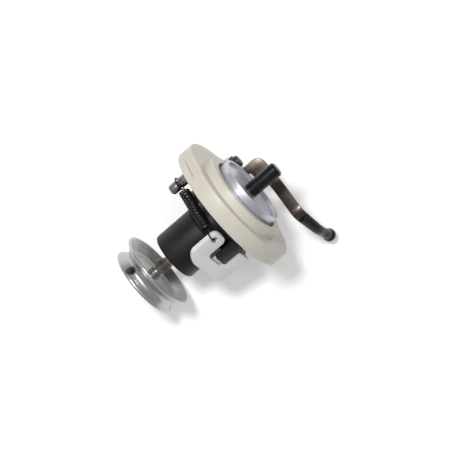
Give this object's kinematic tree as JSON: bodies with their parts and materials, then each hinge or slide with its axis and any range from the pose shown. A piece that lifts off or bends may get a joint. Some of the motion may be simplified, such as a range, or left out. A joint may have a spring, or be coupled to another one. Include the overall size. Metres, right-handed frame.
{
  "type": "sewing bobbin winder",
  "caption": "Sewing machine bobbin winder: round cream flange, swinging spindle with seat disc and grooved drive pulley, spring-loaded arm and latch lever.",
  "frame": {"origin": "centre of the round flange's flat mounting face", "axes": "+Z along the spindle towards the bobbin, +X the way the spindle swings when the lever engages it, +Y away from the spring and the spring plate"},
  "size_m": [0.0645, 0.0581, 0.0714],
  "materials": {
    "cream_enamel": "satin cream stoving enamel on a casting",
    "black_oxide_steel": "black oxide",
    "black_screw": "black oxide screw steel",
    "bright_steel": "ground and polished",
    "sintered_bronze": "oil-filled sintered bronze",
    "spring_steel": "blued spring steel",
    "black_spring_wire": "blackened music wire",
    "black_satin_casting": "satin black enamel on a casting",
    "white_nylon": "natural nylon",
    "white_zinc_plate": "matt white zinc plated steel",
    "black_oxide_spindle": "polished black oxide",
    "satin_aluminium": "clear anodised, turned",
    "turned_aluminium": "bare turned aluminium",
    "dark_nickel_strip": "dark browned steel strip",
    "black_vinyl_grip": "dipped black vinyl"
  },
  "bodies": {
    "base": {"base_flange": "cream_enamel", "backing_plate": "black_oxide_steel", "backing_plate_screws": "black_screw", "stop_block": "black_oxide_steel", "spring_stud": "bright_steel", "lever_bush": "sintered_bronze", "swing_pivot_pin": "bright_steel", "pivot_clip": "spring_steel", "tension_spring": "black_spring_wire"},
    "swing_arm": {"bearing_housing": "black_satin_casting", "upper_bushing": "sintered_bronze", "lower_bushing": "sintered_bronze", "seat_washer": "white_nylon", "spring_plate": "white_zinc_plate", "plate_screw": "black_screw"},
    "spindle": {"winder_shaft": "bright_steel", "shaft_ring": "spring_steel", "bobbin_spindle": "black_oxide_spindle", "bobbin_seat_disc": "satin_aluminium", "drive_pulley": "turned_aluminium", "pulley_set_screw": "black_screw"},
    "lever": {"latch_lever": "dark_nickel_strip", "lever_grip": "black_vinyl_grip", "lever_screw": "black_screw", "lever_washer": "bright_steel", "lever_shaft": "bright_steel", "lever_cam": "black_oxide_steel", "cam_set_screw": "black_screw"}
  },
  "joints": [
    {"name": "lever_turn", "type": "hinge", "parent": "base", "child": "lever", "pos_m": [-0.0115, 0.0106, 0], "axis": [0, 0, 1], "range_deg": [-25, 0]},
    {"name": "arm_swing", "type": "hinge", "parent": "base", "child": "swing_arm", "pos_m": [0.0036, 0.011, 0], "axis": [0, 0, 1], "range_deg": [0, 4], "deforming": ["tension_spring"]},
    {"name": "spindle_spin", "type": "hinge", "parent": "swing_arm", "child": "spindle", "pos_m": [0.0006, -0.004, 0], "axis": [0, 0, 1], "continuous": true}
  ],
  "couplings": [
    {"joint": "arm_swing", "follows": "lever_turn", "ratio": -0.16}
  ]
}
